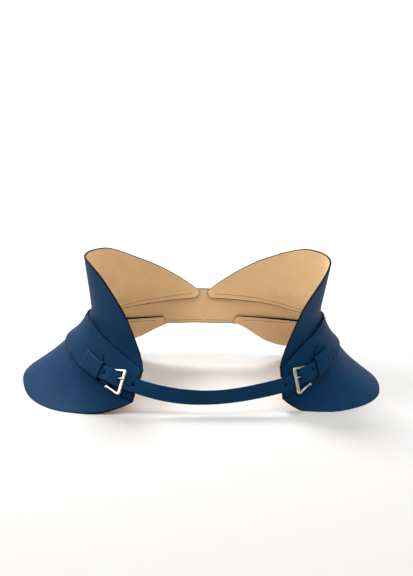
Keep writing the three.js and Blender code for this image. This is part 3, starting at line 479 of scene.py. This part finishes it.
def strap_part(name, s0, s1, h0, h1, mats):
    """A length of strap from arc s0 to s1 with its holes cut as rings in the grid; ends are open butt joints."""
    holes = [S_of(k) for k in hole_k.values()]
    ss = list(np.arange(s0, s1, 1.6)) + [s1]; R = HOLE_D / 2
    if s0 == 0: ss += [.15, .5, 1, 2, 3, 4, 5, 6]
    if s1 == LEN: ss += [LEN - v for v in (.15, .5, 1, 2, 3, 4, 5, 6)]
    mine = [c for c in holes if s0 < c < s1]
    for c in mine: ss = [v for v in ss if abs(v - c) > R + 1.1] + [c + o for o in (-R - .9, R + .9)]
    ss = sorted(set(round(v, 4) for v in ss))
    vs = [-1, -.9, -.55, 0, .55, .9, 1]
    verts, faces, idx = [], [], []
    def P(s, v, h):
        o, t, w, m = strap_at(K_of(s)); e = min(s, LEN - s)
        half = STRAP_W / 2 * (math.sqrt(max(1 - ((7 - e) / 7.2) ** 2, .03)) if e < 7 else 1)
        return o + w * (v * half) + m * h
    def add(p): verts.append(p); return len(verts) - 1
    top, bot = {}, {}
    for i, s in enumerate(ss):
        for j, v in enumerate(vs):
            top[i, j], bot[i, j] = add(P(s, v, h1)), add(P(s, v, h0))
    for i in range(len(ss) - 1):
        mid = (ss[i] + ss[i + 1]) / 2; hit = [c for c in mine if abs(mid - c) < .01]
        for j in range(len(vs) - 1):
            if hit and j in (2, 3): continue
            faces.append((top[i, j], top[i + 1, j], top[i + 1, j + 1], top[i, j + 1])); idx.append(0)
            faces.append((bot[i, j], bot[i, j + 1], bot[i + 1, j + 1], bot[i + 1, j])); idx.append(2)
        if hit:
            c = hit[0]
            rim = [(ss[i], vs[2]), (c, vs[2]), (ss[i + 1], vs[2]), (ss[i + 1], 0), (ss[i + 1], vs[4]), (c, vs[4]), (ss[i], vs[4]), (ss[i], 0)]
            known = {0: (i, 2), 2: (i + 1, 2), 3: (i + 1, 3), 4: (i + 1, 4), 6: (i, 4), 7: (i, 3)}
            ot, ob_ = [], []
            for k, (s, v) in enumerate(rim):
                if k in known: ot.append(top[known[k]]); ob_.append(bot[known[k]])
                else: ot.append(add(P(s, v, h1))); ob_.append(add(P(s, v, h0)))
            N = 24; it, ib_ = [], []
            for n in range(N):
                a = 2 * math.pi * n / N + math.pi * 1.25
                it.append(add(P(c + R * math.cos(a), math.sin(a) * R / (STRAP_W / 2), h1)))
                ib_.append(add(P(c + R * math.cos(a), math.sin(a) * R / (STRAP_W / 2), h0)))
            for k in range(8):
                seq = [(3 * k + z) % N for z in range(4)]
                faces.append((ot[k], ot[(k + 1) % 8], it[seq[3]], it[seq[2]], it[seq[1]], it[seq[0]])); idx.append(0)
                faces.append((ob_[(k + 1) % 8], ob_[k], ib_[seq[0]], ib_[seq[1]], ib_[seq[2]], ib_[seq[3]])); idx.append(2)
            for n in range(N): faces.append((it[n], it[(n + 1) % N], ib_[(n + 1) % N], ib_[n])); idx.append(1)
    # rounded edges along both sides and round the tips
    for j, sg in ((0, -1), (len(vs) - 1, 1)):
        prev = None
        for i, s in enumerate(ss):
            o, t, w, m = strap_at(K_of(s)); r = (h1 - h0) / 2
            row = [top[i, j]] + [add(verts[top[i, j]] * (1 + math.cos(a)) / 2 + verts[bot[i, j]] * (1 - math.cos(a)) / 2 + w * sg * r * .8 * math.sin(a)) for a in (math.pi / 4, math.pi / 2, 3 * math.pi / 4)] + [bot[i, j]]
            if prev:
                for k in range(4): faces.append((prev[k], prev[k + 1], row[k + 1], row[k])); idx.append(1)
            prev = row
    for i in ([0] if s0 == 0 else []) + ([len(ss) - 1] if s1 == LEN else []):
        for j in range(len(vs) - 1): faces.append((top[i, j], top[i, j + 1], bot[i, j + 1], bot[i, j])); idx.append(1)
    ob = mesh(name, verts, faces, mats, idx)
    face_out(ob)
    return ob


W3 = lambda p: tuple((np.asarray(p) + SHIFT) * MM)
cut = {sd: S_of(k_of(sd, 8)) for sd in SIDES}; middle = (cut["left"] + cut["right"]) / 2
strap_sets = [("left_end", 0, cut["left"]), ("left_span", cut["left"], middle), ("right_span", middle, cut["right"]), ("right_end", cut["right"], LEN)]
for nm, s0, s1 in strap_sets:
    sd, kind = nm.split("_")
    for layer, h0, h1, mats, node in (("outer", STRAP_IN + STRAP_GAP, STRAP_IN + STRAP_GAP + STRAP_OUT, [BLUE_S, EDGE, BLUE_S], "front_strap_outer"),
                                      ("lining", 0, STRAP_IN, TAN_MATS, "front_strap_lining")):
        ob = strap_part(f"front_strap_{nm}_{layer}", s0, s1, h0, h1, mats)
        p = lambda s: W3(strap_at(K_of(s))[0])
        p(S_of(k_of(sd, 15))) if kind == "end" else p(cut[sd])
        p(S_of(k_of(sd, 29))) if kind == "end" else p(cut[sd] + (26 if sd == "left" else -26))
        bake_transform(ob)
        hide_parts(node)


# ------------------------------------------------------------ chape, keeper, buckle
def smooth01(x, a, b):
    k = min(max((x - a) / (b - a), 0), 1); return k * k * (3 - 2 * k)


for sd in SIDES:
    ln = lines[sd]; hq = ln.heel()
    def fold(u, v, hgt):
        flat = hq["o"] + hq["x"] * (HEEL_AT - u) + hq["y"] * v + hq["n"] * hgt
        k = smooth01(u, HEEL_AT + 1.5, HEEL_AT + 9)
        return flat if k <= 0 else flat + (ln.put(u, v, hgt) - flat) * k
    ri, ro = FOLD_R, FOLD_R + CHAPE_T; low = HEEL_UP - ro; sec = []
    for u in list(np.linspace(CHAPE_END, 26, 16)): sec.append((u, low, u, low + CHAPE_T))
    for i in range(13):
        a = -math.pi / 2 + math.pi * i / 12; sec.append((HEEL_AT - ro * math.cos(a), HEEL_UP + ro * math.sin(a), HEEL_AT - ri * math.cos(a), HEEL_UP + ri * math.sin(a)))
    bt = curve([HEEL_AT, 25, 30, 34, CHAPE_END], [HEEL_UP + ri, HEEL_UP + ri - .25, low + CHAPE_T + .45, low + CHAPE_T + .2, low + CHAPE_T + .2])
    for u in list(np.linspace(25, CHAPE_END, 16)): sec.append((u, bt(u) + CHAPE_T, u, bt(u)))
    for part, v0, v1 in (("a", -CHAPE_W / 2, -2.2), ("b", 2.2, CHAPE_W / 2)):
        vs = np.linspace(v0, v1, 6)
        ob = sheet(f"chape_{sd}_{part}", [[fold(uo, v, ho) for v in vs] for uo, ho, ui, hi in sec], [[fold(ui, v, hi) for v in vs] for uo, ho, ui, hi in sec], [BLUE_S, EDGE, BLUE_S])
        pieces[f"chape_{sd}_{part}"] = ob
    for part, ss_ in (("c", [q for q in sec[:16] if q[0] > 27.5]), ("d", [q for q in sec[-16:] if q[0] > 27.5])):
        vs = np.linspace(-2.2, 2.2, 5)
        pieces[f"chape_{sd}_{part}"] = sheet(f"chape_{sd}_{part}", [[fold(uo, v, ho) for v in vs] for uo, ho, ui, hi in ss_], [[fold(ui, v, hi) for v in vs] for uo, ho, ui, hi in ss_], [BLUE_S, EDGE, BLUE_S])
    # keeper
    us = list(np.linspace(KEEPER_FROM, KEEPER_RAMP, 22)) + list(np.linspace(KEEPER_RAMP, KEEPER_TO, 14)[1:])
    rise = curve([KEEPER_FROM, KEEPER_RAMP, 56.5, KEEPER_TO], [KEEPER_RISE, KEEPER_RISE, .35, .15]); e = 2 / 5.5
    def keep(u, j, k, J=40):
        a = math.pi * j / J; c, s = math.cos(a), math.sin(a); half = KEEPER_HALF if k else KEEPER_HALF + .9; top = rise(u) + (0 if k else KEEPER_T)
        v = -math.copysign(abs(c) ** e, c) * half; return ln.put(u - ln.at(u)["slant"] * v, v, GAP + (top * abs(s) ** e if 0 < j < J else 0))
    pieces[f"keeper_{sd}"] = sheet(f"keeper_{sd}_leather", [[keep(u, j, 0) for j in range(41)] for u in us], [[keep(u, j, 1) for j in range(41)] for u in us], [BLUE_S, EDGE, BLUE_S])
    # keeper tab
    v0 = -(KEEPER_HALF + .9 + .35); v1 = v0 - 5; uu = [37.5, 37.6, 37.85, 38.2, 38.7, 39.5, 40.7, 42, 43.5, 45, 46, 47, 48, 49, 49.5]
    def tab(u, j, k):
        x = u - 37.5; top = v1 + (3.6 * (1 - math.sqrt(1 - ((3.2 - x) / 3.3) ** 2)) if x < 3.2 else 0) + ((x - 8) * .35 if x > 8 else 0)
        v = v0 + (top - v0) * j / 5; return ln.put(u - ln.at(u)["slant"] * v, v, GAP if k else GAP + 1.1)
    pieces[f"keeper_tab_{sd}"] = sheet(f"keeper_tab_{sd}_leather", [[tab(u, j, 0) for j in range(6)] for u in uu], [[tab(u, j, 1) for j in range(6)] for u in uu], [BLUE_S, EDGE, BLUE_S])

    # buckle frame: a wide outer bar, with arms that converge to the narrow heel bar
    heel = hq["o"] + hq["n"] * HEEL_UP
    ct, st_ = math.cos(math.radians(FRAME_TILT)), math.sin(math.radians(FRAME_TILT))
    fx, fz = hq["x"] * ct + hq["n"] * st_, hq["n"] * ct - hq["x"] * st_
    F = lambda x, y, z: heel + fx * x + hq["y"] * y + fz * z
    w = FRAME_W / 2; x1, x0 = FRAME_LEN + 1.75, -1.7
    cen, wid = [], []
    def ringpt(x, y, nx, ny, hw): cen.append((x, y + SLIP, nx, ny, hw))
    arm, bar, heel_y = 1.2, 1.75, CHAPE_W / 2 + .5 + 1.2
    arm_y = lambda x, sg: float(np.interp(x, [1.35, x1 - bar * 2 - .6], [sg * heel_y - SLIP, sg * (w - arm)]))
    for x in np.linspace(x0, x1 - bar * 2 - .6, 12): ringpt(x, arm_y(x, -1), 0, -1, arm)
    for i in range(1, 9):
        a = math.pi / 2 * i / 9; cx, cy = x1 - bar * 2 - .2, -w + arm * 2 + .4
        hw = arm + (bar - arm) * i / 9; rx, ry = bar + .2, arm + .4
        ringpt(cx + rx * math.sin(a), cy - ry * math.cos(a), math.sin(a), -math.cos(a), hw * (1 + .12 * math.sin(2 * a)))
    for y in np.linspace(-w + arm * 2 + 1.2, w - arm * 2 - 1.2, 10): ringpt(x1 - bar, y, 1, 0, bar)
    for i in range(8, 0, -1):
        a = math.pi / 2 * i / 9; cx, cy = x1 - bar * 2 - .2, w - arm * 2 - .4
        hw = arm + (bar - arm) * i / 9; rx, ry = bar + .2, arm + .4
        ringpt(cx + rx * math.sin(a), cy + ry * math.cos(a), math.sin(a), math.cos(a), hw * (1 + .12 * math.sin(2 * a)))
    for x in np.linspace(x1 - bar * 2 - .6, x0, 12): ringpt(x, arm_y(x, 1), 0, 1, arm)
    V_, F_ = [], []; K = 20; T2 = 1.2
    for (x, y, nx, ny, hw) in cen:
        for k in range(K):
            a = 2 * math.pi * k / K; c, s = math.cos(a), math.sin(a); pw = .62
            o = math.copysign(abs(c) ** pw, c) * hw; z = math.copysign(abs(s) ** pw, s) * T2
            V_.append(F(x + nx * o, y + ny * o, z))
    n = len(cen)
    for i in range(n - 1):
        for k in range(K): F_.append((i * K + k, i * K + (k + 1) % K, (i + 1) * K + (k + 1) % K, (i + 1) * K + k))
    F_ += [tuple(range(K)), tuple((n - 1) * K + k for k in range(K))]
    hv, hf = tube([F(0, y, 0) for y in np.linspace(-heel_y + .4, heel_y - .4, 12)], 1.1, 18)
    F_ += [tuple(i + len(V_) for i in f) for f in hf]; V_ += hv
    ob = mesh(f"buckle_frame_{sd}_metal", V_, F_, [METAL]); pieces[f"buckle_frame_{sd}"] = ob
    # prong
    pr = [(1.9, .15), (4.5, .35), (6.8, .5), (8.4, .7), (9.4, 1.35), (10, 2.6), (10.7, 4.4), (11.7, 5.9), (13.1, 6.85), (14.7, 7.4), (16.3, 7.75), (17.6, 7.9), (18.3, 7.7)]
    px, pz = np.array(pr).T; tt = np.r_[0, np.cumsum(np.hypot(np.diff(px), np.diff(pz)))]; fxp, fzp = curve(tt, px), curve(tt, pz)
    tl = np.linspace(0, tt[-1], 46); rr = [.72 if v < tt[-1] - 3 else .72 - .3 * ((v - tt[-1] + 3) / 3) ** 2 for v in tl]
    v, f = tube([heel + hq["x"] * fxp(k) + hq["n"] * fzp(k) for k in tl], rr, 14)
    ring = [heel + (hq["x"] * math.cos(a) + hq["n"] * math.sin(a)) * 1.9 for a in np.linspace(0, 2 * math.pi, 29)]
    rv, rf = tube(ring, .6, 12, caps=False)
    f += [tuple(i + len(v) for i in ff) for ff in rf]; v += rv
    pieces[f"buckle_prong_{sd}"] = mesh(f"buckle_prong_{sd}_metal", v, f, [METAL])

# ------------------------------------------------------------ stitching
for sd in SIDES:
    h = H[sd]; inn = OUTER + GAP + LINING
    def seam(fr, to, fn, nf, n=150):
        ss = np.linspace(fr / h.L, to / h.L, n); return [fn(s) for s in ss], [nf(s) for s in ss]
    P_, N_ = seam(12, h.L - 4, lambda s: h.strip(s, -5, inn, 1), lambda s: -h.at(s)["m"])
    pieces[f"seam_thread_upper_{sd}"] = stitches(f"stitching_upper_{sd}", P_, N_, YARN_TAN)
    P_, N_ = seam(h.S["corner"] + 6, h.L - 4, lambda s: h.strip(s, -4.5, inn, -1), lambda s: -h.at(s)["m"])
    pieces[f"seam_thread_lower_{sd}"] = stitches(f"stitching_lower_{sd}", P_, N_, YARN_TAN)
    for nm, fn, fr in (("top", lambda s: h.onband(s, 4.2, 0), 3), ("bottom", lambda s: h.onband(s, h.band(s) - 4.2, 0), 3)):
        P_, N_ = seam(fr, h.L - 4, fn, lambda s: h.at(s)["m"])
        pieces[f"stitch_{nm}_{sd}"] = stitches(f"stitching_outside_{nm}_{sd}", P_, N_, YARN_BLUE)
    P_, N_ = seam(1, h.S["tip"] - 1, lambda s: h.onband(s, h.band(s) - 3, -inn), lambda s: -h.at(s)["m"], 30)
    pieces[f"stitch_back_{sd}"] = stitches(f"stitching_back_{sd}", P_, N_, YARN_TAN)

# ------------------------------------------------------------ what rides on what
NODES = set(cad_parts)
for key, ob in pieces.items():
    sd = "left" if "left" in key else "right"
    body = f"frame_{sd}" if key.startswith("buckle_frame") else f"prong_{sd}" if key.startswith("buckle_prong") else "belt"
    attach(ob, body)
    node = key if key in NODES else key[:-2] if key[:-2] in NODES else None
    if node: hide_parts(node)

# ------------------------------------------------------------ floor, light, camera
me = bpy.data.meshes.new("floor"); FLOOR_R, SIDES_N = .85, 96
me.from_pydata([(FLOOR_R * math.cos(2 * math.pi * k / SIDES_N), FLOOR_R * math.sin(2 * math.pi * k / SIDES_N), 0) for k in range(SIDES_N)], [], [tuple(range(SIDES_N))])
floor = bpy.data.objects.new("floor", me); bpy.context.scene.collection.objects.link(floor)
fm, ft, fb = nodes("floor_paper"); fco = coords(ft)
ft.links.new(mixc(ft, noise(ft, fco, 40, 3), (.57, .565, .56), (.59, .585, .578)), fb.inputs["Base Color"])
fb.inputs["Roughness"].default_value = .9; fb.inputs["Specular IOR Level"].default_value = .1
me.materials.append(fm)

world = bpy.data.worlds.new("studio"); bpy.context.scene.world = world; world.use_nodes = True
bg = world.node_tree.nodes["Background"]; wt = world.node_tree
# the studio's surround: white at and below the horizon, dimmer overhead
sep = wt.nodes.new("ShaderNodeSeparateXYZ"); wt.links.new(wt.nodes.new("ShaderNodeTexCoord").outputs["Generated"], sep.inputs[0])
fall = wt.nodes.new("ShaderNodeMapRange"); wt.links.new(sep.outputs[2], fall.inputs[0])
for k, v in enumerate((.01, .2, 1.15, .42), 1): fall.inputs[k].default_value = v
wt.links.new(fall.outputs[0], bg.inputs[1]); bg.inputs[0].default_value = (1, .995, .99, 1)
bpy.context.scene.view_settings.view_transform = "Standard"   # colours as set


def area(name, loc, aim, size, power, color=(1, 1, 1)):
    L = bpy.data.lights.new(name, "AREA"); L.shape = "RECTANGLE"; L.size, L.size_y, L.energy, L.color = *size, power, color
    ob = bpy.data.objects.new(name, L); ob.location = loc
    ob.rotation_euler = (Vector(aim) - Vector(loc)).to_track_quat("-Z", "Y").to_euler()
    bpy.context.scene.collection.objects.link(ob)


area("back", (-.35, 1.2, 1.35), (0, 0, .05), (.7, .7), 34, (1, .995, .985))
area("key", (-1.2, -.1, 1.2), (0, 0, .06), (.8, .8), 13)
area("top", (.3, -.1, 1.6), (0, .05, .06), (.9, .9), 14)

cam = bpy.data.cameras.new("camera"); cam.lens, cam.sensor_width = 70.04, 36
co = bpy.data.objects.new("camera", cam); bpy.context.scene.collection.objects.link(co); bpy.context.scene.camera = co
el, yaw, roll, D = math.radians(14.8), math.radians(-4.2), math.radians(2.2), 1.1935
T = Vector((-.0023 + SHIFT[0] * MM, SHIFT[1] * MM, .1029))
back = Vector((math.sin(yaw) * math.cos(el), -math.cos(yaw) * math.cos(el), math.sin(el)))
right = (-back).cross(Vector((0, 0, 1))).normalized(); up = right.cross(-back)
Rr = right * math.cos(roll) + up * math.sin(roll); Uu = up * math.cos(roll) - right * math.sin(roll)
co.matrix_world = Matrix.Translation(T + back * D) @ Matrix((Rr, Uu, back)).transposed().to_4x4()
